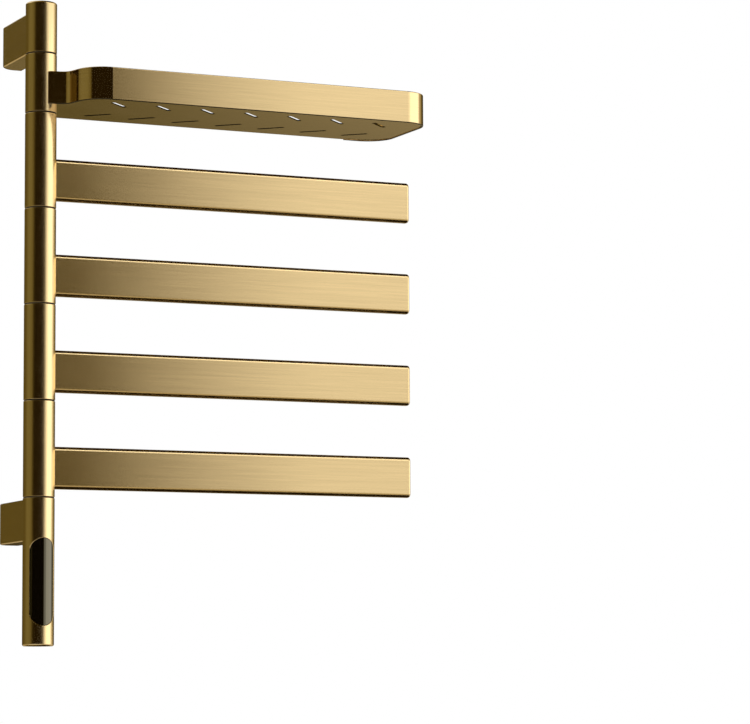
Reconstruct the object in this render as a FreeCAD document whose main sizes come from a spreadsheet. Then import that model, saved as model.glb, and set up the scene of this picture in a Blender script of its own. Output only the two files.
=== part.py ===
import FreeCAD, Part
import math
import os
import Sketcher

# Electric heated towel rail: a wall-held post that carries a shelf and four heated bars, each on a
# length of the post that swivels about it. Millimetres. +Z is up, the wall is the plane Y = 0 and the
# bars run along +X. The origin is midway between the upper wall plate's screw holes, on the wall.

SIZES = {
    # post: tube lengths stacked on a core tube, with a thin seam between lengths
    "wall_gap": 116.0,
    "post_dia": 38.0,
    "sleeve_wall": 2.0,
    "core_dia": 20.0,
    "core_wall": 2.0,
    "core_slot": 4.0,
    "seam_gap": 1.5,
    "seam_edge": 0.4,
    "top_rise": 36.8,
    "first_seam": 26.5,
    "shelf_pitch": 72.5,
    "bar_pitch": 116.25,
    "foot_length": 177.0,
    # end caps
    "cap_flange": 3.0,
    "cap_edge": 2.5,
    "cap_spigot": 8.0,
    "cap_wall": 2.0,
    # clearances: a bush running on the core, washers between lengths, pieces seated in each other,
    # pieces slipped together by hand
    "run_clearance": 0.05,
    "washer_play": 0.05,
    "seat_clearance": 0.05,
    "slip_clearance": 0.2,
    # swivel: bushes, and washers whose tab runs in a groove of the bush below
    "bush_length": 14.0,
    "washer_inset": 0.7,
    "swivel": 180.0,
    "tab_half_angle": 10.0,
    "tab_margin": 1.5,
    "tab_outer": 14.0,
    "tab_depth": 4.0,
    # anchors that hold the core in the fixed lengths
    "anchor_length": 24.0,
    "nut_height": 4.0,
    "nut_across": 26.0,
    # wall brackets and the plates that they slip over
    "lower_bracket_drop": 27.0,
    "bracket_width": 30.0,
    "bracket_height": 50.0,
    "bracket_wall": 3.0,
    "bracket_web": 6.0,
    "bracket_corner": 20.0,
    "bracket_edge": 2.0,
    "plate_width": 15.0,
    "plate_depth": 12.0,
    "plate_pocket": 16.0,
    "wall_hole_dia": 5.5,
    "wall_hole_spacing": 30.0,
    "bolt_lift": 7.0,
    "bolt_dia": 8.0,
    "bolt_head_dia": 13.0,
    "bolt_head_height": 6.0,
    "bolt_bite": 5.5,
    "grub_dia": 4.0,
    "grub_bite": 2.0,
    # mains inlet
    "grommet_dia": 10.0,
    "grommet_bore": 6.8,
    "grommet_lip": 1.5,
    "cable_hole_drop": 14.0,
    "cable_hole_dia": 8.0,
    # touch window and what is behind it
    "window_head": 48.7,
    "window_foot": 24.3,
    "window_width": 28.6,
    "window_edge": 0.6,
    "gasket_thick": 0.5,
    "gasket_lap": 1.5,
    "carrier_depth": 6.5,
    "carrier_overlap": 5.0,
    "board_width": 24.0,
    "board_margin": 1.0,
    "board_thick": 1.6,
    "board_screw_dia": 2.0,
    "board_screw_inset": 4.0,
    "terminal_width": 18.0,
    "terminal_height": 14.0,
    "terminal_depth": 10.0,
    "terminal_pole_dia": 3.5,
    "terminal_pole_pitch": 5.5,
    # shelf: strip and floor sheet
    "shelf_depth": 150.0,
    "shelf_reach": 491.0,
    "shelf_top": 49.6,
    "rim_height": 39.8,
    "rim_thick": 3.0,
    "rim_edge": 1.0,
    "rim_return": 20.0,
    "shelf_corner": 35.0,
    "arm_start": 3.4,
    "arm_stand": 20.5,
    "arm_run": 12.5,
    "arm_tilt": 10.0,
    "neck_radius": 14.0,
    "neck_lean": 76.0,
    "sheet_thick": 1.5,
    "sheet_lift": 1.2,
    "sheet_left": 9.5,
    "slot_count": 7,
    "slot_pitch": 58.0,
    "slot_length": 36.0,
    "slot_width": 6.0,
    "slot_angle": 43.0,
    "slot_row": 37.0,
    "block_reach": 27.0,
    "block_drop": 3.0,
    "shelf_screw_spacing": 18.0,
    # bars
    "bar_reach": 491.0,
    "bar_height": 51.0,
    "bar_thick": 13.0,
    "bar_edge": 5.0,
    "bar_wall": 1.5,
    "bar_rise": 36.0,
    "bar_cap_thick": 5.0,
    "bar_cap_spigot": 10.0,
    "bar_cap_edge": 3.0,
    "plug_length": 30.0,
    "bar_screw_spacing": 30.0,
    "lead_hole_dia": 6.0,
    "heater_width": 40.0,
    "heater_thick": 2.4,
    "heater_gap": 10.0,
    # screws from inside a sleeve into the root of its bar or shelf
    "screw_dia": 4.0,
    "screw_head_dia": 7.0,
    "screw_head_height": 2.4,
    "screw_bite": 12.0,
}
BAR_COUNT = 4

# how far a cutting tool runs past the face that it leaves through
OVERRUN = 1.0

doc = FreeCAD.newDocument("heated_towel_rail")
sheet = doc.addObject("Spreadsheet::Sheet", "sizes")
for row, (alias, number) in enumerate(SIZES.items(), start=1):
    sheet.set(f"A{row}", str(number))
    sheet.setAlias(f"A{row}", alias)
doc.recompute()

# Sizes that follow from the sheet, as expressions
POST_R = "(sizes.post_dia / 2)"
BORE_R = "(sizes.post_dia / 2 - sizes.sleeve_wall)"
SEATED_R = f"({BORE_R} - sizes.seat_clearance)"
COPE_R = f"({POST_R} + sizes.seat_clearance)"
CORE_R = "(sizes.core_dia / 2)"
RUN_R = f"({CORE_R} + sizes.run_clearance)"
CORE_SEAT_R = f"({CORE_R} + sizes.seat_clearance)"
BOLT_R = "(sizes.bolt_dia / 2)"
GRUB_R = "(sizes.grub_dia / 2)"
SCREW_R = "(sizes.screw_dia / 2)"
BRACKET_X = "(sizes.bracket_width / 2)"
BRACKET_Z = "(sizes.bracket_height / 2)"
POCKET_Z = f"({BRACKET_Z} - sizes.bracket_wall)"
PLATE_Z = f"({POCKET_Z} - sizes.slip_clearance)"
WEB_Y = f"({POST_R} + sizes.bracket_web)"
BOLT_TIP_R = f"({SEATED_R} - sizes.bolt_bite)"
HALF_SEAM = "(sizes.seam_gap / 2)"
WASHER_THICK = "(sizes.seam_gap - 2 * sizes.washer_play)"
NUT_R = "(sizes.nut_across / 2 / cos(30))"

finished = []


def value(expression):
    """The number that an expression of the sheet's sizes gives."""
    return sheet.evalExpression(expression)


def seam_z(number):
    """Height of the middle of a seam; 0 is the seam above the shelf's length of the post."""
    if number == 0:
        return "(-sizes.first_seam)"
    return f"(-sizes.first_seam - sizes.shelf_pitch - {number - 1} * sizes.bar_pitch)"


# The foot of the post hangs from the last seam: its end, the lower bracket and the window
BASE_DROP = f"(sizes.foot_length - {seam_z(BAR_COUNT + 1)})"
LOWER_DROP = f"(sizes.lower_bracket_drop - {seam_z(BAR_COUNT + 1)})"
WINDOW_HEIGHT = "(sizes.foot_length - sizes.window_head - sizes.window_foot)"
WINDOW_Z = f"({seam_z(BAR_COUNT + 1)} - sizes.window_head - {WINDOW_HEIGHT} / 2)"


def finish(piece, label, y="-sizes.wall_gap", z="0"):
    """Names a finished piece and puts it in its place: on the post's axis unless told otherwise."""
    piece.Label = label
    piece.setExpression("Placement.Base.y", y)
    piece.setExpression("Placement.Base.z", z)
    finished.append(piece)


# Sketches and the features made from them

def new_body(name):
    """An empty body of its own origin."""
    return doc.addObject("PartDesign::Body", name)


def new_sketch(body, plane, lift="0"):
    """A sketch on one of the body's own planes, moved along that plane's normal."""
    sketch = body.newObject("Sketcher::SketchObject", f"{body.Name}_sketch")
    support = next(item for item in body.Origin.OriginFeatures if item.Role == plane)
    sketch.AttachmentSupport = (support, [""])
    sketch.MapMode = "FlatFace"
    sketch.setExpression("AttachmentOffset.Base.z", lift)
    return sketch


def bind(sketch, kind, where, expression):
    """Adds a dimension to a sketch and ties it to the sheet."""
    index = sketch.addConstraint(Sketcher.Constraint(kind, *where, value(expression)))
    sketch.setExpression(f"Constraints[{index}]", expression)


def bearing(vector):
    """Angle of a vector in the sketch."""
    return math.atan2(vector.y, vector.x)


def add_outline(sketch, points, arcs=None):
    """A closed outline through points given as expressions. Sides are straight, apart from those in arcs,
    which maps the number of the point that a side starts from to (centre x, centre y, radius)."""
    arcs = arcs or {}
    spots = [FreeCAD.Vector(value(x), value(y), 0) for x, y in points]
    sides = []
    for number, start in enumerate(spots):
        end = spots[(number + 1) % len(spots)]
        if number not in arcs:
            sides.append((sketch.addGeometry(Part.LineSegment(start, end)), 1, 2))
            continue
        centre_x, centre_y, radius = arcs[number]
        centre = FreeCAD.Vector(value(centre_x), value(centre_y), 0)
        circle = Part.Circle(centre, FreeCAD.Vector(0, 0, 1), value(radius))
        forward = (start - centre).cross(end - centre).z > 0
        low, high = (start, end) if forward else (end, start)
        side = sketch.addGeometry(Part.ArcOfCircle(circle, bearing(low - centre), bearing(high - centre)))
        bind(sketch, "Radius", (side,), radius)
        sides.append((side, 1, 2) if forward else (side, 2, 1))
    for number, (x, y) in enumerate(points):
        side, head, _ = sides[number]
        before, _, tail = sides[number - 1]
        sketch.addConstraint(Sketcher.Constraint("Coincident", before, tail, side, head))
        bind(sketch, "DistanceX", (-1, 1, side, head), x)
        bind(sketch, "DistanceY", (-1, 1, side, head), y)


def add_rectangle(sketch, low_x, low_y, high_x, high_y):
    """A rectangle between two corners."""
    add_outline(sketch, [(low_x, low_y), (high_x, low_y), (high_x, high_y), (low_x, high_y)])


def add_rounded_rectangle(sketch, middle_y, half_x, half_y, radius):
    """A rectangle about (0, middle_y) with rounded corners."""
    left, right = f"(-{half_x})", f"({half_x})"
    low, high = f"({middle_y} - {half_y})", f"({middle_y} + {half_y})"
    inner_left, inner_right = f"({left} + {radius})", f"({right} - {radius})"
    inner_low, inner_high = f"({low} + {radius})", f"({high} - {radius})"
    points = [(inner_left, low), (inner_right, low), (right, inner_low), (right, inner_high),
              (inner_right, high), (inner_left, high), (left, inner_high), (left, inner_low)]
    arcs = {1: (inner_right, inner_low, radius), 3: (inner_right, inner_high, radius),
            5: (inner_left, inner_high, radius), 7: (inner_left, inner_low, radius)}
    add_outline(sketch, points, arcs)


def add_circle(sketch, x, y, radius):
    """A circle about a point."""
    centre = FreeCAD.Vector(value(x), value(y), 0)
    side = sketch.addGeometry(Part.Circle(centre, FreeCAD.Vector(0, 0, 1), value(radius)))
    bind(sketch, "DistanceX", (-1, 1, side, 3), x)
    bind(sketch, "DistanceY", (-1, 1, side, 3), y)
    bind(sketch, "Radius", (side,), radius)


def add_slot(sketch, x, y, slant, length, width):
    """A slanted slot about a point: two straight sides and two half-round ends, each of two quarters."""
    along_x, along_y = f"cos({slant})", f"sin({slant})"
    half = f"(({length} - {width}) / 2)"
    radius = f"({width} / 2)"

    def spot(along, across):
        return (f"({x} + {along} * {along_x} - {across} * {along_y})",
                f"({y} + {along} * {along_y} + {across} * {along_x})")

    far, near = spot(half, "0"), spot(f"(-{half})", "0")
    points = [spot(f"(-{half})", f"(-{radius})"), spot(half, f"(-{radius})"),
              spot(f"({half} + {radius})", "0"), spot(half, radius),
              spot(f"(-{half})", radius), spot(f"(-{half} - {radius})", "0")]
    arcs = {1: (*far, radius), 2: (*far, radius), 4: (*near, radius), 5: (*near, radius)}
    add_outline(sketch, points, arcs)


def extrude(body, sketch, length, kind="Pad", reverse=False):
    """Pads or pockets a sketch and makes that the body's result."""
    feature = body.newObject(f"PartDesign::{kind}", f"{body.Name}_{kind.lower()}")
    feature.Profile = sketch
    feature.setExpression("Length", length)
    feature.Reversed = reverse
    body.Tip = feature
    return feature


def carve(body, sketch, length):
    """Pockets a sketch along its normal."""
    return extrude(body, sketch, length, "Pocket", reverse=True)


def revolve(body, sketch):
    """Turns a sketch about its own vertical axis."""
    feature = body.newObject("PartDesign::Revolution", f"{body.Name}_revolution")
    feature.Profile = sketch
    feature.ReferenceAxis = (sketch, ["V_Axis"])
    feature.Angle = 360
    body.Tip = feature


def round_edges(body, radius, wanted):
    """Fillets the edges of the body that wanted() picks."""
    doc.recompute()
    base = body.Tip
    names = [f"Edge{number}" for number, edge in enumerate(base.Shape.Edges, start=1) if wanted(edge)]
    feature = body.newObject("PartDesign::Fillet", f"{body.Name}_fillet")
    feature.Base = (base, names)
    feature.setExpression("Radius", radius)
    body.Tip = feature


# Solids and booleans

ALONG = {
    "Z": FreeCAD.Rotation(),
    "X": FreeCAD.Rotation(FreeCAD.Vector(0, 1, 0), 90),
    "Y": FreeCAD.Rotation(FreeCAD.Vector(1, 0, 0), -90),
}


def put(solid, corner):
    """Ties a solid's base point to three expressions."""
    for letter, expression in zip("xyz", corner):
        solid.setExpression(f"Placement.Base.{letter}", expression)
    return solid


def cylinder(radius, length, base=("0", "0", "0"), along="Z"):
    """A cylinder from a base point along an axis."""
    solid = doc.addObject("Part::Cylinder", "cylinder")
    solid.setExpression("Radius", radius)
    solid.setExpression("Height", length)
    solid.Placement.Rotation = ALONG[along]
    return put(solid, base)


def sector(radius, length, base, start, span):
    """A slice of an upright cylinder that starts at an angle from +X and spans another."""
    solid = cylinder(radius, length, base)
    solid.setExpression("Angle", span)
    solid.setExpression("Placement.Rotation.Angle", start)
    return solid


def box(low, size):
    """A box from its low corner."""
    solid = doc.addObject("Part::Box", "box")
    for edge, expression in zip(("Length", "Width", "Height"), size):
        solid.setExpression(edge, expression)
    return put(solid, low)


def fuse(pieces):
    """Joins solids into one."""
    solid = doc.addObject("Part::MultiFuse", "fusion")
    solid.Shapes = pieces
    solid.Refine = True
    return solid


def cut(base, tools):
    """Takes tools from a solid."""
    solid = doc.addObject("Part::Cut", "cut")
    solid.Base = base
    solid.Tool = tools[0] if len(tools) == 1 else fuse(tools)
    return solid


def common(first, second):
    """What two solids share."""
    solid = doc.addObject("Part::Common", "common")
    solid.Base = first
    solid.Tool = second
    return solid


def group(pieces):
    """Several separate solids as one piece."""
    compound = doc.addObject("Part::Compound", "group")
    compound.Links = pieces
    return compound


def ring(outer, inner, length, z="0"):
    """An upright tube about the axis."""
    bore = cylinder(inner, f"{length} + {2 * OVERRUN}", ("0", "0", f"{z} - {OVERRUN}"))
    return cut(cylinder(outer, length, ("0", "0", z)), [bore])


# Wall plates, brackets and what joins them to the post

def make_wall_plate(label, drop, has_cable, grub_up):
    """Steel block screwed flat to the wall, with a dimple for the grub screw that holds its bracket."""
    body = new_body(label)
    sketch = new_sketch(body, "XZ_Plane")
    add_rectangle(sketch, "-sizes.plate_width / 2", f"-{PLATE_Z}", "sizes.plate_width / 2", PLATE_Z)
    for side in ("-", ""):
        add_circle(sketch, "0", f"{side}sizes.wall_hole_spacing / 2", "sizes.wall_hole_dia / 2")
    if has_cable:
        add_circle(sketch, "0", "0", "sizes.grommet_dia / 2 + sizes.seat_clearance")
    extrude(body, sketch, "sizes.plate_depth")
    depth = "(sizes.grub_bite - sizes.slip_clearance)"
    lift = f"{PLATE_Z} - {depth}" if grub_up else f"-{PLATE_Z} - {OVERRUN}"
    dimple = new_sketch(body, "XY_Plane", lift)
    add_circle(dimple, "0", "-sizes.plate_depth / 2", f"{GRUB_R} + sizes.seat_clearance")
    carve(body, dimple, f"{depth} + {OVERRUN}")
    finish(body, label, y="0", z=f"-{drop}")


def make_bracket(label, drop, has_cable, grub_up):
    """Box arm from the wall to the post: hollow, open to the wall, coped to the post, with soft long edges
    and a large radius on the vertical corner away from the bars."""
    body = new_body(label)
    corner = "sizes.bracket_corner"
    plan = new_sketch(body, "XY_Plane", f"-{BRACKET_Z}")
    points = [(f"-{BRACKET_X}", "-sizes.wall_gap"), (BRACKET_X, "-sizes.wall_gap"), (BRACKET_X, "0"),
              (f"{corner} - {BRACKET_X}", "0"), (f"-{BRACKET_X}", f"-{corner}")]
    add_outline(plan, points, {3: (f"{corner} - {BRACKET_X}", f"-{corner}", corner)})
    extrude(body, plan, "sizes.bracket_height")

    half_height = value(BRACKET_Z)
    front = -value("sizes.wall_gap")

    def is_long_edge(edge):
        middle = edge.BoundBox.Center
        at_end = edge.BoundBox.YLength < 0.01 and (abs(middle.y) < 0.01 or abs(middle.y - front) < 0.01)
        return abs(abs(middle.z) - half_height) < 0.01 and not at_end

    round_edges(body, "sizes.bracket_edge", is_long_edge)

    cope = new_sketch(body, "XY_Plane", f"-{BRACKET_Z} - {OVERRUN}")
    add_circle(cope, "0", "-sizes.wall_gap", COPE_R)
    carve(body, cope, f"sizes.bracket_height + {2 * OVERRUN}")

    hollow = new_sketch(body, "XY_Plane", f"-{POCKET_Z}")
    wide = f"({BRACKET_X} - sizes.bracket_wall)"
    narrow = "(sizes.plate_width / 2 + sizes.slip_clearance)"
    deep, step, mouth = f"{WEB_Y} - sizes.wall_gap", "-sizes.plate_pocket", f"{OVERRUN}"
    points = [(f"-{wide}", deep), (wide, deep), (wide, step), (narrow, step), (narrow, mouth),
              (f"-{narrow}", mouth), (f"-{narrow}", step), (f"-{wide}", step)]
    add_outline(hollow, points)
    carve(body, hollow, f"2 * {POCKET_Z}")

    web = new_sketch(body, "XZ_Plane", f"sizes.wall_gap - {WEB_Y} - {OVERRUN}")
    add_circle(web, "0", "sizes.bolt_lift", f"{BOLT_R} + sizes.slip_clearance")
    if has_cable:
        add_circle(web, "0", "-sizes.cable_hole_drop", "sizes.cable_hole_dia / 2")
    carve(body, web, f"sizes.bracket_web + {3 * OVERRUN}")

    lift = f"{POCKET_Z} - {OVERRUN}" if grub_up else f"-{BRACKET_Z} - {OVERRUN}"
    grub = new_sketch(body, "XY_Plane", lift)
    add_circle(grub, "0", "-sizes.plate_depth / 2", f"{GRUB_R} + sizes.seat_clearance")
    carve(body, grub, f"sizes.bracket_wall + {2 * OVERRUN}")
    finish(body, label, y="0", z=f"-{drop}")


def make_bracket_bolt(drop):
    """Bolt from inside a bracket, through the post's wall, into the anchor."""
    z = f"sizes.bolt_lift - {drop}"
    shank = cylinder(BOLT_R, f"{WEB_Y} - {BOLT_TIP_R}", ("0", BOLT_TIP_R, z), "Y")
    head = cylinder("sizes.bolt_head_dia / 2", "sizes.bolt_head_height", ("0", WEB_Y, z), "Y")
    return fuse([shank, head])


def make_grub_screw(drop, grub_up):
    """Headless screw through a bracket's wall into the dimple of the wall plate."""
    length = "(sizes.bracket_wall + sizes.grub_bite - 2 * sizes.slip_clearance)"
    flush = f"{BRACKET_Z} - sizes.slip_clearance"
    low = f"{flush} - {length} - {drop}" if grub_up else f"-({flush}) - {drop}"
    return cylinder(GRUB_R, length, ("0", "-sizes.plate_depth / 2", low))


for plate_label, bracket_label, drop, lower in (
        ("upper_wall_plate", "upper_bracket", "0", False),
        ("lower_wall_plate", "lower_bracket", LOWER_DROP, True)):
    make_wall_plate(plate_label, drop, lower, not lower)
    make_bracket(bracket_label, drop, lower, not lower)

finish(group([make_bracket_bolt("0"), make_bracket_bolt(LOWER_DROP)]), "bracket_bolts")
finish(group([make_grub_screw("0", True), make_grub_screw(LOWER_DROP, False)]),
       "bracket_grub_screws", y="0")

grommet_length = "sizes.plate_depth + sizes.grommet_lip"
grommet_body = cylinder("sizes.grommet_dia / 2", grommet_length, ("0", f"-({grommet_length})", "0"), "Y")
grommet_flange = cylinder("sizes.grommet_dia / 2 + sizes.grommet_lip", "sizes.grommet_lip",
                          ("0", f"-({grommet_length})", "0"), "Y")
grommet_hole = cylinder("sizes.grommet_bore / 2", f"{grommet_length} + {2 * OVERRUN}",
                        ("0", f"-({grommet_length}) - {OVERRUN}", "0"), "Y")
finish(cut(fuse([grommet_body, grommet_flange]), [grommet_hole]), "cable_grommet",
       y="0", z=f"-{LOWER_DROP}")


# Fixed lengths of the post, caps and core

def make_tube(label, low, length, soft_ends):
    """A length of the post's tube; soft_ends lists the heights of the ends whose outer edge is rounded."""
    body = new_body(label)
    section = new_sketch(body, "XY_Plane", low)
    add_circle(section, "0", "0", POST_R)
    add_circle(section, "0", "0", BORE_R)
    extrude(body, section, length)
    heights = [value(height) for height in soft_ends]
    width = value("sizes.post_dia")

    def is_soft(edge):
        bounds = edge.BoundBox
        is_outer = bounds.ZLength < 0.01 and abs(bounds.XLength - width) < 0.01
        return is_outer and any(abs(bounds.ZMin - height) < 0.01 for height in heights)

    round_edges(body, "sizes.seam_edge", is_soft)
    return body


def make_cap(label, is_top):
    """Round end cap: a flange with a rounded edge and a hollow spigot inside the tube."""
    body = new_body(label)
    sketch = new_sketch(body, "XZ_Plane")
    edge = "sizes.cap_edge"
    shoulder, tail = "sizes.cap_flange", "(sizes.cap_flange + sizes.cap_spigot)"
    inner = f"({SEATED_R} - sizes.cap_wall)"
    # heights are measured inwards from the outer face
    depths = [("0", "0"), (f"{POST_R} - {edge}", "0"), (POST_R, edge), (POST_R, shoulder),
              (SEATED_R, shoulder), (SEATED_R, tail), (inner, tail), (inner, shoulder), ("0", shoulder)]
    inward = "-" if is_top else ""
    points = [(radius, f"{inward}({depth})") for radius, depth in depths]
    add_outline(sketch, points, {1: (f"{POST_R} - {edge}", f"{inward}{edge}", edge)})
    revolve(body, sketch)
    finish(body, label, z="sizes.top_rise" if is_top else f"-{BASE_DROP}")


make_cap("top_cap", True)
make_cap("bottom_cap", False)

top_low = f"({seam_z(0)} + {HALF_SEAM})"
top_high = "(sizes.top_rise - sizes.cap_flange)"
bottom_low = f"(sizes.cap_flange - {BASE_DROP})"
bottom_high = f"({seam_z(BAR_COUNT + 1)} - {HALF_SEAM})"
bolt_heights = ("sizes.bolt_lift", f"sizes.bolt_lift - {LOWER_DROP}")


def bolt_hole(z, clearance):
    """Tool for the bolt's way through the post's wall and into the anchor."""
    return cylinder(f"{BOLT_R} + {clearance}", f"{POST_R} - {BOLT_TIP_R} + {OVERRUN}",
                    ("0", f"{BOLT_TIP_R} - sizes.slip_clearance", z), "Y")


top_tube = make_tube("top_tube", top_low, f"({top_high} - {top_low})", [top_low])
finish(cut(top_tube, [bolt_hole(bolt_heights[0], "sizes.slip_clearance")]), "top_section")


def window_prism(margin, depth):
    """Upright rounded slot of the window's outline, from the axis out through the front of the post."""
    half = f"(sizes.window_width / 2 + {margin})"
    straight = f"({WINDOW_HEIGHT} - sizes.window_width)"
    low, high = f"({WINDOW_Z} - {straight} / 2)", f"({WINDOW_Z} + {straight} / 2)"
    middle = box((f"-{half}", f"-{depth}", low), (f"2 * {half}", depth, straight))
    ends = [cylinder(half, depth, ("0", f"-{depth}", z), "Y") for z in (low, high)]
    return fuse([middle] + ends)


def cut_window(body):
    """Cuts the window's slot through the front of a tube and rounds its outer edge."""
    slot = new_sketch(body, "XZ_Plane")
    add_slot(slot, "0", WINDOW_Z, "90", WINDOW_HEIGHT, "sizes.window_width")
    carve(body, slot, through)
    radius = value(POST_R)

    def is_window_edge(edge):
        bounds = edge.BoundBox
        on_surface = all(abs(math.hypot(spot.X, spot.Y) - radius) < 0.01 for spot in edge.Vertexes)
        return on_surface and bounds.ZLength > 0.01 and bounds.YMax < -0.01

    round_edges(body, "sizes.window_edge", is_window_edge)


through = f"({POST_R} + {OVERRUN})"
bottom_tube = make_tube("bottom_tube", bottom_low, f"({bottom_high} - {bottom_low})", [bottom_high])
cut_window(bottom_tube)
cable_hole = cylinder("sizes.cable_hole_dia / 2", through,
                      ("0", "0", f"-sizes.cable_hole_drop - {LOWER_DROP}"), "Y")
finish(cut(bottom_tube, [cable_hole, bolt_hole(bolt_heights[1], "sizes.slip_clearance")]), "bottom_section")

anchor_lows = [f"({height} - sizes.anchor_length / 2)" for height in bolt_heights]
for label, low, height in zip(("top_anchor", "bottom_anchor"), anchor_lows, bolt_heights):
    plug = ring(SEATED_R, CORE_SEAT_R, "sizes.anchor_length", low)
    finish(cut(plug, [bolt_hole(height, "sizes.seat_clearance")]), label)

core_high = f"({anchor_lows[0]} + sizes.anchor_length + sizes.nut_height)"
core_low = f"({anchor_lows[1]} - sizes.nut_height)"
slot_low = f"({anchor_lows[1]} + sizes.anchor_length)"
core_pipe = ring(CORE_R, f"{CORE_R} - sizes.core_wall", f"{core_high} - {core_low}", core_low)
core_channel = box(("-sizes.core_slot / 2", "0", slot_low),
                   ("sizes.core_slot", f"{CORE_R} + {OVERRUN}", f"{anchor_lows[0]} - {slot_low}"))
finish(cut(core_pipe, [core_channel]), "core_tube")


def make_nut(low):
    """Thin hexagon nut on the end of the core."""
    prism = doc.addObject("Part::Prism", "hexagon")
    prism.Polygon = 6
    prism.setExpression("Circumradius", NUT_R)
    prism.setExpression("Height", "sizes.nut_height")
    put(prism, ("0", "0", low))
    hole = cylinder(CORE_SEAT_R, f"sizes.nut_height + {2 * OVERRUN}", ("0", "0", f"{low} - {OVERRUN}"))
    return cut(prism, [hole])


finish(group([make_nut(f"{core_high} - sizes.nut_height"), make_nut(core_low)]), "core_nuts")


# Seam washers

def make_washer(number, has_tab):
    """Washer that fills a seam, keyed to the core's slot by a lug. The tab below limits the swivel."""
    low = f"({seam_z(number)} - {WASHER_THICK} / 2)"
    plain = ring(f"{POST_R} - sizes.washer_inset", RUN_R, WASHER_THICK, low)
    lug_width = "(sizes.core_slot - 2 * sizes.run_clearance)"
    lug_low = f"({CORE_R} - sizes.core_wall)"
    lug = box((f"-{lug_width} / 2", lug_low, low),
              (lug_width, "2 * sizes.core_wall + sizes.run_clearance", WASHER_THICK))
    pieces = [plain, lug]
    if has_tab:
        base = f"({low} - sizes.tab_depth)"
        height = f"sizes.tab_depth + {WASHER_THICK} / 2"
        tab = sector("sizes.tab_outer", height, ("0", "0", base),
                     "-sizes.tab_half_angle", "2 * sizes.tab_half_angle")
        clear = cylinder(f"{RUN_R} + sizes.slip_clearance", f"{height} + {2 * OVERRUN}",
                         ("0", "0", f"{base} - {OVERRUN}"))
        pieces.append(cut(tab, [clear]))
    return fuse(pieces)


finish(group([make_washer(number, True) for number in range(BAR_COUNT + 1)]), "stop_washers")
finish(make_washer(BAR_COUNT + 1, False), "base_washer")


# Touch window, control board and terminals

window_depth = f"({POST_R} + {OVERRUN})"
window_shell = ring(POST_R, BORE_R, WINDOW_HEIGHT, f"{WINDOW_Z} - {WINDOW_HEIGHT} / 2")
finish(common(window_shell, window_prism("-sizes.slip_clearance", window_depth)), "display_window")

carrier_length = f"({WINDOW_HEIGHT} + 2 * sizes.carrier_overlap)"
carrier_low = f"({WINDOW_Z} - {carrier_length} / 2)"
gasket_r = f"({SEATED_R} - sizes.gasket_thick)"
carrier_r = f"({gasket_r} - sizes.seat_clearance)"
gasket_shell = ring(SEATED_R, gasket_r, carrier_length, carrier_low)
gasket_band = cut(window_prism("sizes.gasket_lap", window_depth),
                  [window_prism("-sizes.gasket_lap", window_depth)])
finish(common(gasket_shell, gasket_band), "window_gasket")

board_back = f"({carrier_r} - sizes.carrier_depth)"
carrier_round = cylinder(carrier_r, carrier_length, ("0", "0", carrier_low))
carrier_slab = box((f"-{carrier_r}", f"-{carrier_r}", carrier_low),
                   (f"2 * {carrier_r}", "sizes.carrier_depth", carrier_length))
screw_holes = []
board_holes = []
board_screws = []
board_height = f"({WINDOW_HEIGHT} - 2 * sizes.board_margin)"
board_low = f"({WINDOW_Z} - {board_height} / 2)"
board_y = f"(sizes.seat_clearance - {board_back})"
for z in (f"({board_low} + sizes.board_screw_inset)",
          f"({board_low} + {board_height} - sizes.board_screw_inset)"):
    radius = "(sizes.board_screw_dia / 2)"
    reach = "(sizes.carrier_depth / 2)"
    tip = ("0", f"-{board_back} - {reach}", z)
    screw_holes.append(cylinder(f"{radius} + sizes.seat_clearance", f"{reach} + {OVERRUN}", tip, "Y"))
    board_holes.append(cylinder(f"{radius} + sizes.slip_clearance", f"sizes.board_thick + {2 * OVERRUN}",
                                ("0", f"{board_y} - {OVERRUN}", z), "Y"))
    shank = cylinder(radius, f"{reach} + sizes.board_thick + sizes.seat_clearance", tip, "Y")
    head = cylinder(f"2 * {radius}", radius, ("0", f"{board_y} + sizes.board_thick", z), "Y")
    board_screws.append(fuse([shank, head]))
finish(cut(common(carrier_round, carrier_slab), screw_holes), "board_carrier")
board = box(("-sizes.board_width / 2", board_y, board_low),
            ("sizes.board_width", "sizes.board_thick", board_height))
finish(cut(board, board_holes), "control_board")
finish(group(board_screws), "board_screws")

terminal_y = f"({board_y} + sizes.board_thick)"
terminal_z = f"({board_low} + {board_height} - 3 * sizes.board_screw_inset - sizes.terminal_height)"
terminal = box(("-sizes.terminal_width / 2", terminal_y, terminal_z),
               ("sizes.terminal_width", "sizes.terminal_depth", "sizes.terminal_height"))
poles = [cylinder("sizes.terminal_pole_dia / 2", f"sizes.terminal_height / 2 + {OVERRUN}",
                  (f"{offset} * sizes.terminal_pole_pitch", f"{terminal_y} + sizes.terminal_depth / 2",
                   f"{terminal_z} + sizes.terminal_height / 2"))
         for offset in (-1, 0, 1)]
finish(cut(terminal, poles), "terminal_block")


# Swivelling lengths: sleeve, bushes and screws. Heights are measured from the seam below.

def make_sleeve(label, pitch, screw_heights, lead_height, z):
    """Tube length with screw holes, and a hole for the leads, on the side of its bar."""
    body = make_tube(label, HALF_SEAM, f"({pitch} - sizes.seam_gap)", [HALF_SEAM, f"({pitch} - {HALF_SEAM})"])
    holes = new_sketch(body, "YZ_Plane")
    for height in screw_heights:
        add_circle(holes, "0", height, f"{SCREW_R} + sizes.slip_clearance")
    if lead_height:
        add_circle(holes, "0", lead_height, "sizes.lead_hole_dia / 2")
    carve(body, holes, through)
    finish(body, label, z=z)


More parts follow.
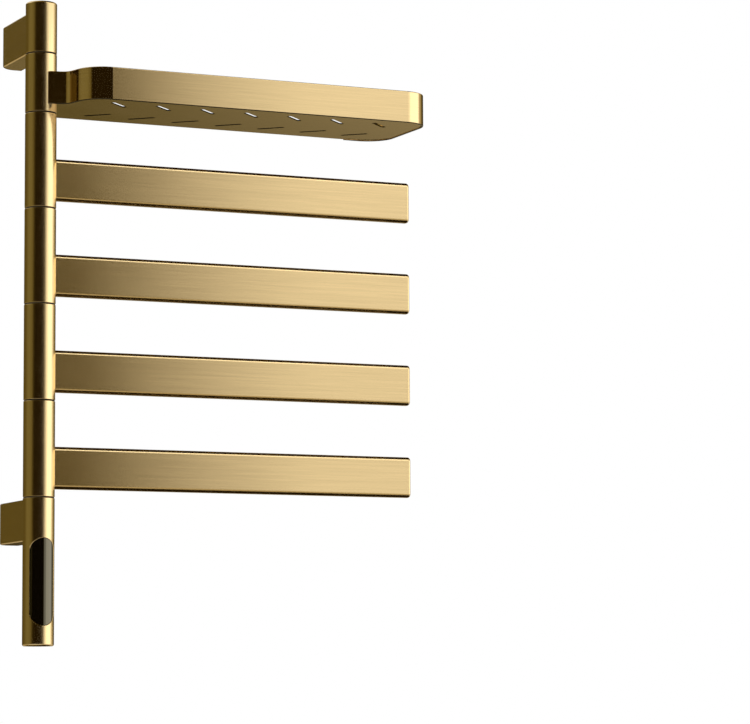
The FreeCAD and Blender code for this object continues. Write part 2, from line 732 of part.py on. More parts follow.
def make_bushes(label, pitch, z):
    """Upper bush with the groove that the stop washer's tab runs in, and a plain lower bush."""
    upper_low = f"({pitch} - {HALF_SEAM} - sizes.bush_length)"
    groove_depth = "(sizes.tab_depth + sizes.tab_margin)"
    slack = "(sizes.tab_half_angle + sizes.tab_margin)"
    groove = sector("sizes.tab_outer + 2 * sizes.slip_clearance", f"{groove_depth} + {OVERRUN}",
                    ("0", "0", f"{upper_low} + sizes.bush_length - {groove_depth}"),
                    f"-{slack}", f"sizes.swivel + 2 * {slack}")
    upper = cut(ring(SEATED_R, RUN_R, "sizes.bush_length", upper_low), [groove])
    lower = ring(SEATED_R, RUN_R, "sizes.bush_length", HALF_SEAM)
    finish(group([upper, lower]), label, z=z)


def make_root_screws(label, heights, z):
    """Screws from inside a sleeve into the root of what it carries. A head bears on the bore at its rim."""
    head_r = "(sizes.screw_head_dia / 2)"
    seat = f"(sqrt({BORE_R} ^ 2 - {head_r} ^ 2) - sizes.seat_clearance)"
    screws = []
    for height in heights:
        head = cylinder(head_r, "sizes.screw_head_height", (f"{seat} - sizes.screw_head_height", "0", height),
                        "X")
        shank = cylinder(SCREW_R, f"{POST_R} + sizes.screw_bite - {seat}", (seat, "0", height), "X")
        screws.append(fuse([head, shank]))
    finish(group(screws), label, z=z)


def cope_to_sleeve(body, low, high):
    """Cuts a body back from the sleeve between two heights."""
    sketch = new_sketch(body, "XY_Plane", f"{low} - {OVERRUN}")
    add_circle(sketch, "0", "0", COPE_R)
    carve(body, sketch, f"{high} - {low} + {2 * OVERRUN}")


def drill_root(body, heights, lead_height):
    """Blind holes for the root screws and, if there is one, the way for the leads."""
    holes = new_sketch(body, "YZ_Plane")
    for height in heights:
        add_circle(holes, "0", height, f"{SCREW_R} + sizes.seat_clearance")
    carve(body, holes, f"{POST_R} + sizes.screw_bite + sizes.slip_clearance")
    if lead_height:
        leads = new_sketch(body, "YZ_Plane")
        add_circle(leads, "0", lead_height, "sizes.lead_hole_dia / 2")
        carve(body, leads, f"{POST_R} + sizes.plug_length + {OVERRUN}")


# Shelf. Its heights are measured from the seam below, its plan from the post's axis.

TILT_COS, TILT_SIN = "cos(sizes.arm_tilt)", "sin(sizes.arm_tilt)"
LEAN_COS, LEAN_SIN = "cos(sizes.neck_lean)", "sin(sizes.neck_lean)"
shelf_z = seam_z(1)
rim_high = "(sizes.first_seam + sizes.shelf_pitch - sizes.shelf_top)"
rim_low = f"({rim_high} - sizes.rim_height)"
sheet_low = f"({rim_low} + sizes.sheet_lift)"
sheet_high = f"({sheet_low} + sizes.sheet_thick)"
block_high = f"({rim_high} - sizes.block_drop)"
shelf_y = "(sizes.shelf_depth / 2)"
bend_y = f"({shelf_y} - sizes.shelf_corner)"
neck_out_x = f"(sizes.arm_start + sizes.arm_run * {TILT_COS} - sizes.neck_radius * {TILT_SIN})"
neck_out_y = f"(-sizes.arm_stand - sizes.arm_run * {TILT_SIN} - sizes.neck_radius * {TILT_COS})"
lean_run = (f"(({neck_out_y} + sizes.neck_radius * {LEAN_COS} + {bend_y} + sizes.shelf_corner * {LEAN_COS})"
            f" / {LEAN_SIN})")
front_x = f"({neck_out_x} + (sizes.neck_radius + sizes.shelf_corner) * {LEAN_SIN} + {lean_run} * {LEAN_COS})"
neck_x = f"({front_x} - sizes.shelf_corner)"
far_x = "(sizes.shelf_reach - sizes.shelf_corner)"
return_x = f"({far_x} - sizes.rim_return)"


def shelf_path(inset):
    """Corners of the shelf's plan, a distance inside the strip's outer face, from the arm's tip round to the
    far back corner, and the arcs between them. The arm leaves the post at a tilt, the neck turns it forwards
    to a steep lean, and the front corner turns it back along the shelf."""
    corner = f"(sizes.shelf_corner - {inset})"
    neck = f"(sizes.neck_radius + {inset})"
    side_y, reach = f"({shelf_y} - {inset})", f"(sizes.shelf_reach - {inset})"
    turn = (f"({neck_out_x} + {neck} * {TILT_SIN})", f"({neck_out_y} + {neck} * {TILT_COS})")
    tip = (f"({turn[0]} - sizes.arm_run * {TILT_COS})", f"({turn[1]} + sizes.arm_run * {TILT_SIN})")
    points = [tip, turn, (f"({neck_out_x} + {neck} * {LEAN_SIN})", f"({neck_out_y} + {neck} * {LEAN_COS})"),
              (f"({front_x} - {corner} * {LEAN_SIN})", f"(-{bend_y} - {corner} * {LEAN_COS})"),
              (front_x, f"-{side_y}"), (far_x, f"-{side_y}"), (reach, f"-{bend_y}"),
              (reach, bend_y), (far_x, side_y)]
    arcs = {1: (neck_out_x, neck_out_y, neck), 3: (front_x, f"-{bend_y}", corner),
            5: (far_x, f"-{bend_y}", corner), 7: (far_x, bend_y, corner)}
    return points, arcs


def make_shelf_rim():
    """Flat strip on edge: off the post's front, through an S-bend, round the front, end and back corner."""
    body = new_body("shelf_rim")
    outer, arcs = shelf_path("0")
    inner, inner_arcs = shelf_path("sizes.rim_thick")
    end = [(return_x, shelf_y), (return_x, f"{shelf_y} - sizes.rim_thick")]
    points = outer + end + inner[::-1]
    last = len(points) - 1
    for number, arc in inner_arcs.items():
        arcs[last - number - 1] = arc
    plan = new_sketch(body, "XY_Plane", rim_low)
    add_outline(plan, points, arcs)
    extrude(body, plan, "sizes.rim_height")
    round_edges(body, "sizes.rim_edge", lambda edge: edge.BoundBox.ZLength < 0.01)
    cope_to_sleeve(body, rim_low, rim_high)
    finish(body, "shelf_rim", z=shelf_z)


def make_shelf_sheet():
    """Thin floor inside the strip, with two mirrored rows of slanted slots, cut round the sleeve."""
    body = new_body("shelf_sheet")
    inside = "(sizes.rim_thick + sizes.seat_clearance)"
    points, arcs = shelf_path(inside)
    left = "sizes.sheet_left"
    back_gap = f"({return_x} - sizes.seat_clearance)"
    last = len(points)
    points = points + [(back_gap, f"{shelf_y} - {inside}"), (back_gap, shelf_y),
                       (f"{left} + sizes.shelf_corner", shelf_y), (left, bend_y)]
    arcs[last + 2] = (f"{left} + sizes.shelf_corner", bend_y, "sizes.shelf_corner")
    plan = new_sketch(body, "XY_Plane", sheet_low)
    add_outline(plan, points, arcs)
    extrude(body, plan, "sizes.sheet_thick")
    cope_to_sleeve(body, sheet_low, sheet_high)
    slots = new_sketch(body, "XY_Plane", f"{sheet_low} - {OVERRUN}")
    run = "((sizes.slot_count - 1) * sizes.slot_pitch)"
    first_x = f"(({neck_x} + sizes.shelf_reach - {run}) / 2)"
    for side, slant in (("-", "sizes.slot_angle"), ("", "-sizes.slot_angle")):
        add_slot(slots, first_x, f"({side}sizes.slot_row)", slant, "sizes.slot_length", "sizes.slot_width")
    first_slots = carve(body, slots, f"sizes.sheet_thick + {2 * OVERRUN}")
    doc.recompute()
    rows = body.newObject("PartDesign::LinearPattern", "slot_rows")
    rows.Originals = [first_slots]
    rows.Direction = (slots, ["H_Axis"])
    rows.setExpression("Length", run)
    rows.setExpression("Occurrences", "sizes.slot_count")
    body.Tip = rows
    finish(body, "shelf_sheet", z=shelf_z)


shelf_screw_heights = [f"(({sheet_high} + {block_high}) / 2 {sign} sizes.shelf_screw_spacing / 2)"
                       for sign in "-+"]


def make_shelf_block():
    """Root block on the sheet, between the sleeve and the arm of the strip."""
    body = new_body("shelf_root_block")
    plan = new_sketch(body, "XY_Plane", sheet_high)
    (tip_x, tip_y), (turn_x, turn_y) = shelf_path("(sizes.rim_thick + sizes.seat_clearance)")[0][:2]
    reach, back = "sizes.block_reach", f"(-{tip_y})"
    add_outline(plan, [(tip_x, tip_y), (turn_x, turn_y), (reach, turn_y), (reach, back), (tip_x, back)])
    extrude(body, plan, f"{block_high} - {sheet_high}")
    cope_to_sleeve(body, sheet_high, block_high)
    drill_root(body, shelf_screw_heights, None)
    finish(body, "shelf_root_block", z=shelf_z)


make_sleeve("shelf_sleeve", "sizes.shelf_pitch", shelf_screw_heights, None, shelf_z)
make_bushes("shelf_bushes", "sizes.shelf_pitch", shelf_z)
make_root_screws("shelf_screws", shelf_screw_heights, shelf_z)
make_shelf_rim()
make_shelf_sheet()
make_shelf_block()


# Bars. Heights are measured from the seam below.

bar_half_y = "(sizes.bar_thick / 2)"
bar_half_z = "(sizes.bar_height / 2)"
hollow_y = f"({bar_half_y} - sizes.bar_wall)"
hollow_z = f"({bar_half_z} - sizes.bar_wall)"
hollow_edge = "(sizes.bar_edge - sizes.bar_wall)"
plug_y = f"({hollow_y} - sizes.slip_clearance)"
plug_z = f"({hollow_z} - sizes.slip_clearance)"
plug_end = f"({POST_R} + sizes.plug_length)"
shell_end = "(sizes.bar_reach - sizes.bar_cap_thick)"
bar_low, bar_high = f"(sizes.bar_rise - {bar_half_z})", f"(sizes.bar_rise + {bar_half_z})"
bar_screw_heights = [f"(sizes.bar_rise {sign} sizes.bar_screw_spacing / 2)" for sign in "-+"]


def make_bar_shell(label, z):
    """Hollow flat bar with rounded edges, coped to its sleeve."""
    body = new_body(label)
    section = new_sketch(body, "YZ_Plane")
    add_rounded_rectangle(section, "sizes.bar_rise", bar_half_y, bar_half_z, "sizes.bar_edge")
    add_rounded_rectangle(section, "sizes.bar_rise", hollow_y, hollow_z, hollow_edge)
    extrude(body, section, shell_end)
    cope_to_sleeve(body, bar_low, bar_high)
    finish(body, label, z=z)


def make_root_plug(label, z):
    """Plug that fills the root of a bar and is screwed to its sleeve."""
    body = new_body(label)
    section = new_sketch(body, "YZ_Plane")
    add_rounded_rectangle(section, "sizes.bar_rise", plug_y, plug_z, hollow_edge)
    extrude(body, section, plug_end)
    cope_to_sleeve(body, bar_low, bar_high)
    drill_root(body, bar_screw_heights, "sizes.bar_rise")
    finish(body, label, z=z)


def make_bar_cap(label, z):
    """Cap that closes the end of a bar: a plate with softened edges and a spigot inside the shell."""
    body = new_body(label)
    spigot = new_sketch(body, "YZ_Plane", f"{shell_end} - sizes.bar_cap_spigot")
    add_rounded_rectangle(spigot, "sizes.bar_rise", plug_y, plug_z, hollow_edge)
    extrude(body, spigot, "sizes.bar_cap_spigot")
    plate = new_sketch(body, "YZ_Plane", shell_end)
    add_rounded_rectangle(plate, "sizes.bar_rise", bar_half_y, bar_half_z, "sizes.bar_edge")
    extrude(body, plate, "sizes.bar_cap_thick")
    reach = value("sizes.bar_reach")
    round_edges(body, "sizes.bar_cap_edge", lambda edge: edge.BoundBox.XMin > reach - 0.01)
    finish(body, label, z=z)


def make_heater(label, z):
    """Flat heating strip on the inside of a bar's front wall."""
    low = f"({plug_end} + sizes.heater_gap)"
    high = f"({shell_end} - sizes.bar_cap_spigot - sizes.heater_gap)"
    strip = box((low, f"sizes.seat_clearance - {hollow_y}", "sizes.bar_rise - sizes.heater_width / 2"),
                (f"{high} - {low}", "sizes.heater_thick", "sizes.heater_width"))
    finish(group([strip]), label, z=z)


for number in range(1, BAR_COUNT + 1):
    bar_z = seam_z(number + 1)
    make_sleeve(f"bar_{number}_sleeve", "sizes.bar_pitch", bar_screw_heights, "sizes.bar_rise", bar_z)
    make_bushes(f"bar_{number}_bushes", "sizes.bar_pitch", bar_z)
    make_root_screws(f"bar_{number}_screws", bar_screw_heights, bar_z)
    make_root_plug(f"bar_{number}_root_plug", bar_z)
    make_bar_shell(f"bar_{number}_shell", bar_z)
    make_heater(f"bar_{number}_heater", bar_z)
    make_bar_cap(f"bar_{number}_end_cap", bar_z)

doc.recompute()

failed = [item.Label for item in doc.Objects if "Invalid" in item.State or "Error" in item.State]
for piece in finished:
    if piece.Shape.isNull() or not piece.Shape.isValid() or not piece.Shape.Solids:
        failed.append(piece.Label)
if failed:
    raise RuntimeError(f"these did not build: {failed}")

os.makedirs("parts", exist_ok=True)
for piece in finished:
    piece.Shape.exportStep(f"parts/{piece.Label}.step")
    print(f"{piece.Label}: {len(piece.Shape.Solids)} solid(s), {piece.Shape.Volume:.0f} mm3")
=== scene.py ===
"""Looks of the electric heated towel rail: brushed gold finish, black touch window, studio and camera.

Metres, in the part's own frame: +Z up, the wall at Y = 0, the bars along +X.
"""
import bpy
import math
import numpy as np
from mathutils import Matrix, Vector

MM = 0.001
BAR_NUMBERS = (1, 2, 3, 4)

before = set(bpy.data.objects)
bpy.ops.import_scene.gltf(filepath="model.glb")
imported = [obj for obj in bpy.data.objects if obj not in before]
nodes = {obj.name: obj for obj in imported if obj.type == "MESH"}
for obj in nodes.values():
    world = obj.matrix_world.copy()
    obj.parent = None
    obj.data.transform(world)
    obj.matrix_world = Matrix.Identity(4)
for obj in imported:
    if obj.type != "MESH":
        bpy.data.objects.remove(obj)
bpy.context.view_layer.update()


# Small tools for materials

# values of a noise between which a mottled tone runs
NOISE_LOW = 0.3
NOISE_HIGH = 0.7


def linear(hex_code):
    """An sRGB hex value as linear red, green, blue and alpha."""
    channels = np.array([int(hex_code[place:place + 2], 16) for place in (1, 3, 5)]) / 255
    low = channels / 12.92
    high = ((channels + 0.055) / 1.055) ** 2.4
    return (*np.where(channels <= 0.04045, low, high).tolist(), 1.0)


def times(colour, share):
    """A linear colour with its brightness multiplied by a share."""
    return (*(share * part for part in colour[:3]), 1.0)


def add_node(tree, kind, inputs=None, stops=None, **settings):
    """Adds a node: settings go on the node, inputs on its sockets, where an output socket is linked, and
    stops, as (position, colour), on its colour ramp."""
    node = tree.nodes.new(kind)
    for name, setting in settings.items():
        setattr(node, name, setting)
    for name, given in (inputs or {}).items():
        socket = node.inputs[name]
        if isinstance(given, bpy.types.NodeSocket):
            tree.links.new(given, socket)
        else:
            socket.default_value = given
    for number, (position, colour) in enumerate(stops or ()):
        marks = node.color_ramp.elements
        # a ramp starts out with two marks
        mark = marks[number] if number < 2 else marks.new(position)
        mark.position = position
        mark.color = colour
    return node


def new_material(name):
    """An empty material with an output, as (material, tree, shader)."""
    material = bpy.data.materials.new(name)
    material.use_nodes = True
    tree = material.node_tree
    tree.nodes.clear()
    shader = add_node(tree, "ShaderNodeBsdfPrincipled")
    add_node(tree, "ShaderNodeOutputMaterial", {"Surface": shader.outputs["BSDF"]})
    return material, tree, shader


def grain_pattern(tree, sizes, **character):
    """Noise on Object coordinates whose grain has these sizes along x, y and z, in millimetres."""
    place = add_node(tree, "ShaderNodeTexCoord")
    scale = tuple(1 / (size * MM) for size in sizes)
    scaled = add_node(tree, "ShaderNodeMapping", {"Vector": place.outputs["Object"], "Scale": scale})
    noise = add_node(tree, "ShaderNodeTexNoise",
                     {"Vector": scaled.outputs["Vector"], "Scale": 1.0, **character})
    return noise.outputs["Fac"]


def mottled(tone, share):
    """Ramp stops from a share of a tone up to the whole of it."""
    return [(NOISE_LOW, times(tone, share)), (NOISE_HIGH, tone)]


# Finishes

GOLD = "#E7CB95"
# The brush's widest lines, as drawn, and the size of the clouds in its roughness, in millimetres
BRUSH_WIDTH = 1.6
BRUSH_LENGTH = 100
ALONG_POST = (BRUSH_WIDTH, BRUSH_WIDTH, BRUSH_LENGTH)
ALONG_BARS = (BRUSH_LENGTH, BRUSH_WIDTH, BRUSH_WIDTH)
ALONG_RIM = (BRUSH_LENGTH, BRUSH_LENGTH, BRUSH_WIDTH)
ALONG_BRACKETS = (BRUSH_WIDTH, BRUSH_LENGTH, BRUSH_WIDTH)
CLOUD_SIZE = (60, 60, 60)
BRUSH_STRENGTH = 0.015
ROUGHNESS_SWING = 0.015
RELIEF_DEPTH = 0.05 * MM
# Darkest share of each kind of tone
BRUSH_SHADE = 0.88
METAL_SHADE = 0.8
POLYMER_SHADE = 0.85
WINDOW_BLACK = "#040302"
WINDOW_FILM = "#EADFBC"
WINDOW_IOR = 2.2
WINDOW_CLOUD = (14, 14, 14)
WINDOW_ROUGHNESS = (0.03, 0.06)
# Share of the gold tone by how far a face looks up: 0 straight down, 0.5 level, 1 straight up. This is
# painted shade:
# on the sheet, upright faces such as the slots' walls are painted dark for the shade in the slots, and on the
# rim, faces that look down are painted dark for the shaded line at its lower edge
UPRIGHT_FACES_PAINTED_SHADE = ((0.2, 1.0), (0.3, 0.04), (0.7, 0.04), (0.8, 1.0))
DOWNWARD_FACES_PAINTED_SHADE = ((0.35, 0.03), (0.48, 1.0))


def paint_shade_by_facing(tree, colour, faces):
    """A colour times a share that depends on how far the face looks up."""
    # painted shade: the colour is darkened on faces by how far they look up or down, where shade falls in
    # slots and under the rim
    side = add_node(tree, "ShaderNodeNewGeometry")
    axes = add_node(tree, "ShaderNodeSeparateXYZ", {"Vector": side.outputs["Normal"]})
    climb = add_node(tree, "ShaderNodeMapRange", {"Value": axes.outputs["Z"], "From Min": -1.0})
    painted_shade = add_node(tree, "ShaderNodeValToRGB", {"Fac": climb.outputs["Result"]},
                     stops=[(position, (share, share, share, 1.0)) for position, share in faces])
    # the mix node's colour sockets are numbers 6 and 7, and its colour output is number 2
    product = add_node(tree, "ShaderNodeMix", {0: 1.0, 6: colour, 7: painted_shade.outputs["Color"]},
                       data_type="RGBA", blend_type="MULTIPLY")
    return product.outputs[2]


def brushed_gold(name, along, grain, roughness, turn=0.0, faces=None):
    """Gold anodised aluminium, brushed: the brush leaves fine lines that spread a reflection across them and
    keep it sharp along them, and faint streaks. along is the axis that the spread goes round, turn a share
    of a full turn to add to it. Real lines are about 0.1 mm apart; the widest are drawn at the grain's size
    and finer ones in them, as fine as shows."""
    material, tree, shader = new_material(name)
    lines = grain_pattern(tree, grain, Detail=4.0, Roughness=0.6)
    shade = add_node(tree, "ShaderNodeValToRGB", {"Fac": lines}, stops=mottled(linear(GOLD), BRUSH_SHADE))
    tone_and_shade = shade.outputs["Color"]
    # faces, if given, paints shade into the brushed tone by how far each face looks up
    if faces:
        tone_and_shade = paint_shade_by_facing(tree, tone_and_shade, faces)
    cloud = grain_pattern(tree, CLOUD_SIZE, Detail=1.0)
    blur = add_node(tree, "ShaderNodeMapRange", {"Value": cloud, "To Min": roughness - ROUGHNESS_SWING,
                                                 "To Max": roughness + ROUGHNESS_SWING})
    relief = add_node(tree, "ShaderNodeBump", {"Height": lines, "Strength": BRUSH_STRENGTH,
                                               "Distance": RELIEF_DEPTH})
    across = add_node(tree, "ShaderNodeTangent", direction_type="RADIAL", axis=along)
    shader.inputs["Metallic"].default_value = 1.0
    shader.inputs["Anisotropic"].default_value = 1.0
    shader.inputs["Anisotropic Rotation"].default_value = turn
    tree.links.new(tone_and_shade, shader.inputs["Base Color"])
    tree.links.new(blur.outputs["Result"], shader.inputs["Roughness"])
    tree.links.new(relief.outputs["Normal"], shader.inputs["Normal"])
    tree.links.new(across.outputs["Tangent"], shader.inputs["Tangent"])
    return material


def plain_metal(name, tone, roughness, grain):
    """Unfinished metal with a faint mottle from its making: plating, drawing or turning."""
    material, tree, shader = new_material(name)
    mottle = grain_pattern(tree, grain, Detail=3.0)
    shade = add_node(tree, "ShaderNodeValToRGB", {"Fac": mottle}, stops=mottled(linear(tone), METAL_SHADE))
    shader.inputs["Metallic"].default_value = 1.0
    shader.inputs["Roughness"].default_value = roughness
    tree.links.new(shade.outputs["Color"], shader.inputs["Base Color"])
    return material


def moulded(name, tone, roughness, grain=0.8, depth=0.1, gloss=0.5):
    """Moulded or pressed polymer: one colour with a fine even texture from the mould."""
    material, tree, shader = new_material(name)
    texture = grain_pattern(tree, (grain, grain, grain), Detail=3.0)
    shade = add_node(tree, "ShaderNodeValToRGB", {"Fac": texture}, stops=mottled(linear(tone), POLYMER_SHADE))
    relief = add_node(tree, "ShaderNodeBump", {"Height": texture, "Strength": depth,
                                               "Distance": RELIEF_DEPTH})
    shader.inputs["Roughness"].default_value = roughness
    shader.inputs["Specular IOR Level"].default_value = gloss
    tree.links.new(shade.outputs["Color"], shader.inputs["Base Color"])
    tree.links.new(relief.outputs["Normal"], shader.inputs["Normal"])
    return material


def smoked_window():
    """Smoked acrylic with a hard, faintly warm mirror film: black, with a clear pale reflection that is a
    little uneven."""
    material, tree, shader = new_material("smoked_acrylic")
    low, high = WINDOW_ROUGHNESS
    film = grain_pattern(tree, WINDOW_CLOUD, Detail=2.0)
    blur = add_node(tree, "ShaderNodeMapRange", {"Value": film, "To Min": low, "To Max": high})
    shader.inputs["Base Color"].default_value = linear(WINDOW_BLACK)
    shader.inputs["IOR"].default_value = WINDOW_IOR
    shader.inputs["Specular Tint"].default_value = linear(WINDOW_FILM)
    tree.links.new(blur.outputs["Result"], shader.inputs["Roughness"])
    return material


def paint(node_names, material):
    """Gives CAD nodes a material."""
    for name in node_names:
        slots = nodes[name].data.materials
        slots.clear()
        slots.append(material)


def each_bar(piece):
    """That piece's node of every bar."""
    return [f"bar_{number}_{piece}" for number in BAR_NUMBERS]


# The brackets' gold is the dullest, then the post's and the bars', and the shelf's is the clearest
gold_post = brushed_gold("brushed_gold_post", "Z", ALONG_POST, 0.155)
gold_bars = brushed_gold("brushed_gold_bars", "X", ALONG_BARS, 0.12)
# the rim's downward faces and the sheet's upright faces are painted dark as painted shade
gold_rim = brushed_gold("brushed_gold_rim", "Z", ALONG_RIM, 0.085, turn=0.25, faces=DOWNWARD_FACES_PAINTED_SHADE)
gold_sheet = brushed_gold("brushed_gold_sheet", "X", ALONG_BARS, 0.075, faces=UPRIGHT_FACES_PAINTED_SHADE)
gold_brackets = brushed_gold("brushed_gold_brackets", "Y", ALONG_BRACKETS, 0.17)
# Zinc plate gives a cool grey, slightly clouded shine, and turning a paler one with fine rings
zinc_steel = plain_metal("zinc_plated_steel", "#B9BBC0", 0.35, (3.0, 3.0, 3.0))
turned_aluminium = plain_metal("turned_aluminium", "#C9CACC", 0.3, (2.0, 2.0, 0.4))
# Acetal is a dull black with hardly any gloss, rubber a soft black with a coarser skin
black_acetal = moulded("black_acetal", "#0E0B07", 0.6, gloss=0.12)
black_rubber = moulded("black_rubber", "#121212", 0.7, grain=1.2, depth=0.2)
# Silicone rubber is brick red and dull, and the board's laminate green under half-gloss lacquer
heating_mat = moulded("silicone_heating_mat", "#A5492C", 0.6, grain=1.5, depth=0.3)
board_laminate = moulded("circuit_board_laminate", "#1D5A36", 0.4, grain=0.6)

paint(["top_section", "bottom_section", "shelf_sleeve", "top_cap", "bottom_cap"], gold_post)
paint(each_bar("sleeve"), gold_post)
paint(each_bar("shell") + each_bar("end_cap"), gold_bars)
paint(["shelf_rim"], gold_rim)
# the root block's upright sides take the sheet's painted shade too
paint(["shelf_sheet", "shelf_root_block"], gold_sheet)
paint(["upper_bracket", "lower_bracket"], gold_brackets)
paint(["upper_wall_plate", "lower_wall_plate", "core_tube", "core_nuts", "bracket_bolts",
       "bracket_grub_screws", "board_screws", "shelf_screws"] + each_bar("screws"), zinc_steel)
paint(["top_anchor", "bottom_anchor"] + each_bar("root_plug"), turned_aluminium)
paint(["stop_washers", "base_washer", "shelf_bushes", "board_carrier", "terminal_block"], black_acetal)
paint(each_bar("bushes"), black_acetal)
paint(["window_gasket", "cable_grommet"], black_rubber)
paint(each_bar("heater"), heating_mat)
paint(["control_board"], board_laminate)
paint(["display_window"], smoked_window())


# Studio

def add_mesh(name, points, faces, material):
    """A mesh object at the origin from arrays of points and faces."""
    mesh = bpy.data.meshes.new(name)
    mesh.from_pydata(points.tolist(), [], faces.tolist())
    mesh.materials.append(material)
    thing = bpy.data.objects.new(name, mesh)
    bpy.context.scene.collection.objects.link(thing)
    return thing


def grid_faces(rows, columns):
    """Quads of a grid of points stored row by row, not closed either way."""
    corner = (np.arange(rows - 1)[:, None] * columns + np.arange(columns - 1)[None, :]).ravel()
    return np.stack([corner, corner + 1, corner + columns + 1, corner + columns], axis=1)


def glossy_only(thing):
    """Shows a thing in reflections alone."""
    thing.visible_camera = False
    thing.visible_diffuse = False
    thing.visible_transmission = False
    thing.visible_volume_scatter = False
    thing.visible_shadow = False


# Studio surround, seen in reflections alone: a brown drape all round, with plain cards and two softboxes
# before it. It is far off, so that only the direction counts. The compass angle is 0 straight in front of
# the rail, 90 towards the bars' ends and 180 at the wall. White is the level at which the gold renders about
# as it is written.
SURROUND_RADIUS = 200.0
SURROUND_STEPS = 361
CARD_FADE = 1.0
WHITE = linear("#FFFFFF")
BRIGHT = times(WHITE, 1.2)
SOFTBOX = times(WHITE, 2.0)
TAN = linear("#C2B490")
OLIVE = linear("#827A50")
BROWN = linear("#62562A")
BLACK = linear("#221804")
# tone, compass angles from and to, elevations from and to, width of the soft sides; later ones hang in front
CARDS = (
    (TAN, -185, 185, -35, -9, 1),  # floor all round
    (WHITE, -90, 14, -35, -11, 20),  # floor in front
    (WHITE, 36, 110, -35, -10, 20),  # floor on the right
    (WHITE, 170, 260, 20, 90, 20),  # ceiling at the wall and the left
    (OLIVE, -125, -74, -4, 20, 20),  # screen on the left
    (BLACK, -66, 18, -9, 20, 8),  # flag in front
    (TAN, 60, 108, -9, 20, 12),  # screen beyond the bars' ends
    (WHITE, 22, 92, -9, 20, 4),  # screen on the right
    (BRIGHT, 23, 92, 10.4, 20, 4),  # its brighter top
    (SOFTBOX, 37, 84, -2, 12, 8),  # softbox on the right
    (TAN, 44, 150, 20, 39, 12),  # high screen on the right
    (SOFTBOX, 17, 36, 20, 38, 6),  # high softbox
    (BLACK, 14, 165, 39, 90, 10),  # ceiling on the right
    (BLACK, 14, 165, -90, -36, 10),  # floor under the bars
    (BROWN, 154, 200, -14, -8, 12),  # foot of the wall
    (BLACK, 132, 172, -9.2, 14, 16),  # flag at the wall
)


def surround_material():
    """A glow in the tones that the surround's points carry."""
    material = bpy.data.materials.new("studio_surround")
    material.use_nodes = True
    material.cycles.emission_sampling = "NONE"
    tree = material.node_tree
    tree.nodes.clear()
    tones = add_node(tree, "ShaderNodeAttribute", attribute_name="tone")
    glow = add_node(tree, "ShaderNodeEmission", {"Color": tones.outputs["Color"], "Strength": 1.0})
    add_node(tree, "ShaderNodeOutputMaterial", {"Surface": glow.outputs["Emission"]})
    return material


def cover(distance, blend):
    """How much of a card is in front at a distance inside its edge: a straight ramp of width blend."""
    return np.clip(0.5 + distance / blend, 0.0, 1.0)


def add_surround():
    """A sphere round the rail, by compass angle and elevation. Each card covers what is behind it by the
    product of two ramps, one by the compass angle from its middle and one by elevation."""
    turn = np.linspace(-180, 180, SURROUND_STEPS)
    rise = np.linspace(-90, 90, SURROUND_STEPS)
    tones = np.tile(np.array(BROWN), (SURROUND_STEPS, SURROUND_STEPS, 1))
    for tone, start, end, low, high, blend in CARDS:
        aside = np.abs((turn - (start + end) / 2 + 180) % 360 - 180)
        across = cover((end - start) / 2 - aside, blend)
        upward = cover(np.minimum(rise - low, high - rise), CARD_FADE)
        share = (upward[:, None] * across[None, :])[:, :, None]
        tones = (1 - share) * tones + share * np.array(tone)
    up, round_by = np.meshgrid(np.radians(rise), np.radians(turn), indexing="ij")
    points = np.stack([np.cos(up) * np.sin(round_by), -np.cos(up) * np.cos(round_by), np.sin(up)], axis=-1)
    screen = add_mesh("studio_surround", SURROUND_RADIUS * points.reshape(-1, 3),
                      grid_faces(SURROUND_STEPS, SURROUND_STEPS), surround_material())
    carried = screen.data.attributes.new("tone", "FLOAT_COLOR", "POINT")
    carried.data.foreach_set("color", tones.ravel())
    glossy_only(screen)


FLOOR_TONE = "#F4F2EE"
FLOOR_ROUGHNESS = 0.9
FLOOR_DROP = 1.9
FLOOR_REACH = 12.0


def add_floor():
    """Pale plain floor, far below the rail as in a room where it hangs at chest height."""
    material, _, shader = new_material("pale_floor")
    shader.inputs["Base Color"].default_value = linear(FLOOR_TONE)
    shader.inputs["Roughness"].default_value = FLOOR_ROUGHNESS
    corners = np.array([(-1, -1), (1, -1), (1, 1), (-1, 1)]) * FLOOR_REACH
    points = np.column_stack([corners, np.full(len(corners), -FLOOR_DROP)])
    floor = add_mesh("floor", points, np.array([[0, 1, 2, 3]]), material)
    floor.visible_glossy = False


FILL_LEVEL = 0.85
LAMP_PLACE = (2.2, -1.8, 0.6)
LAMP_AIM = (0.2, -0.116, -0.35)
LAMP_SIZE = 1.6
LAMP_POWER = 40


def add_lamp():
    """A square softbox on the right that faces the middle of the rail. Reflections show the surround's
    softboxes in place of it."""
    lamp = bpy.data.lights.new("right_softbox", "AREA")
    lamp.shape = "SQUARE"
    lamp.size = LAMP_SIZE
    lamp.energy = LAMP_POWER
    thing = bpy.data.objects.new("right_softbox", lamp)
    thing.location = LAMP_PLACE
    thing.rotation_euler = (Vector(LAMP_AIM) - Vector(LAMP_PLACE)).to_track_quat("-Z", "Y").to_euler()
    thing.visible_glossy = False
    bpy.context.scene.collection.objects.link(thing)


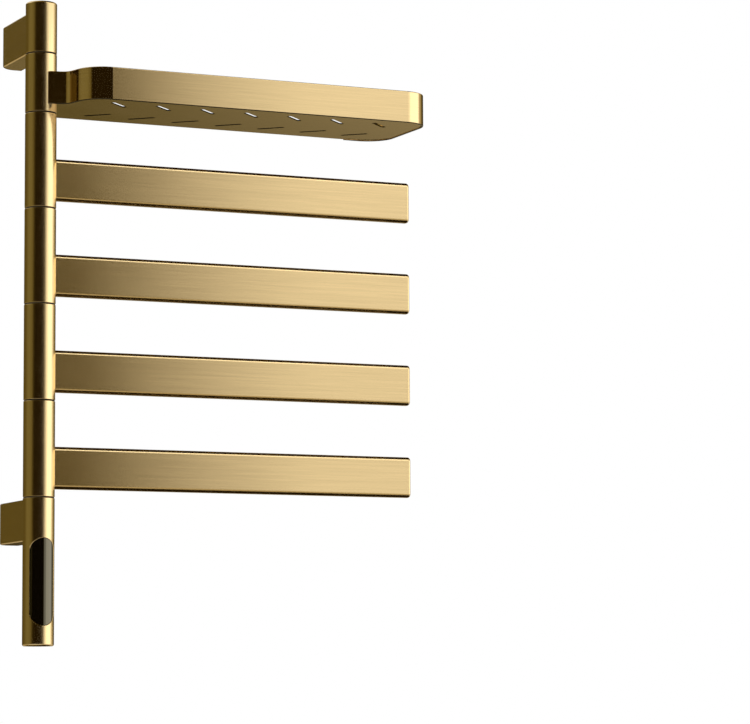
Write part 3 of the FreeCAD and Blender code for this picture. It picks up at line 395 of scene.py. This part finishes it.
def light_world():
    """White for what the camera, gloss and glass see, and a soft even fill for the rest. Gloss meets the
    surround first."""
    world = bpy.data.worlds.new("studio")
    bpy.context.scene.world = world
    world.use_nodes = True
    tree = world.node_tree
    tree.nodes.clear()
    rays = add_node(tree, "ShaderNodeLightPath")
    seen = add_node(tree, "ShaderNodeMath",
                    {0: rays.outputs["Is Camera Ray"], 1: rays.outputs["Is Glossy Ray"]}, operation="MAXIMUM")
    through = add_node(tree, "ShaderNodeMath",
                       {0: seen.outputs[0], 1: rays.outputs["Is Transmission Ray"]}, operation="MAXIMUM")
    fill = add_node(tree, "ShaderNodeBackground", {"Color": WHITE, "Strength": FILL_LEVEL})
    white = add_node(tree, "ShaderNodeBackground", {"Color": WHITE, "Strength": 1.0})
    mix = add_node(tree, "ShaderNodeMixShader",
                   {0: through.outputs[0], 1: fill.outputs[0], 2: white.outputs[0]})
    add_node(tree, "ShaderNodeOutputWorld", {"Surface": mix.outputs[0]})


# Camera: fitted to the photograph, whose frame is 750 by 724 pixels
IMAGE_WIDTH = 750
FOCAL_PIXELS = 3286.57
SENSOR_WIDTH = 36.0
CAMERA_PLACE = (-1.29938, -3.83931, -0.81379)
CAMERA_YAW = 25.0991
CAMERA_PITCH = 5.9779
CAMERA_ROLL = -0.2935
CAMERA_NEAR = 0.05
CAMERA_FAR = 60.0


def add_camera():
    """Looks along yaw (from the wall's normal towards the bars) and pitch, then rolls about that line."""
    yaw, pitch, roll = (math.radians(angle) for angle in (CAMERA_YAW, CAMERA_PITCH, CAMERA_ROLL))
    ahead = Vector((math.sin(yaw) * math.cos(pitch), math.cos(yaw) * math.cos(pitch), math.sin(pitch)))
    level = Vector((math.cos(yaw), -math.sin(yaw), 0))
    upright = level.cross(ahead)
    right = math.cos(roll) * level + math.sin(roll) * upright
    up = math.cos(roll) * upright - math.sin(roll) * level
    lens = bpy.data.cameras.new("camera")
    lens.sensor_fit = "HORIZONTAL"
    lens.sensor_width = SENSOR_WIDTH
    lens.lens = FOCAL_PIXELS * SENSOR_WIDTH / IMAGE_WIDTH
    lens.clip_start = CAMERA_NEAR
    lens.clip_end = CAMERA_FAR
    camera = bpy.data.objects.new("camera", lens)
    turned = Matrix((right, up, -ahead)).transposed().to_4x4()
    camera.matrix_world = Matrix.Translation(CAMERA_PLACE) @ turned
    bpy.context.scene.collection.objects.link(camera)
    bpy.context.scene.camera = camera


add_surround()
add_floor()
light_world()
add_lamp()
add_camera()
bpy.context.scene.view_settings.view_transform = "Standard"
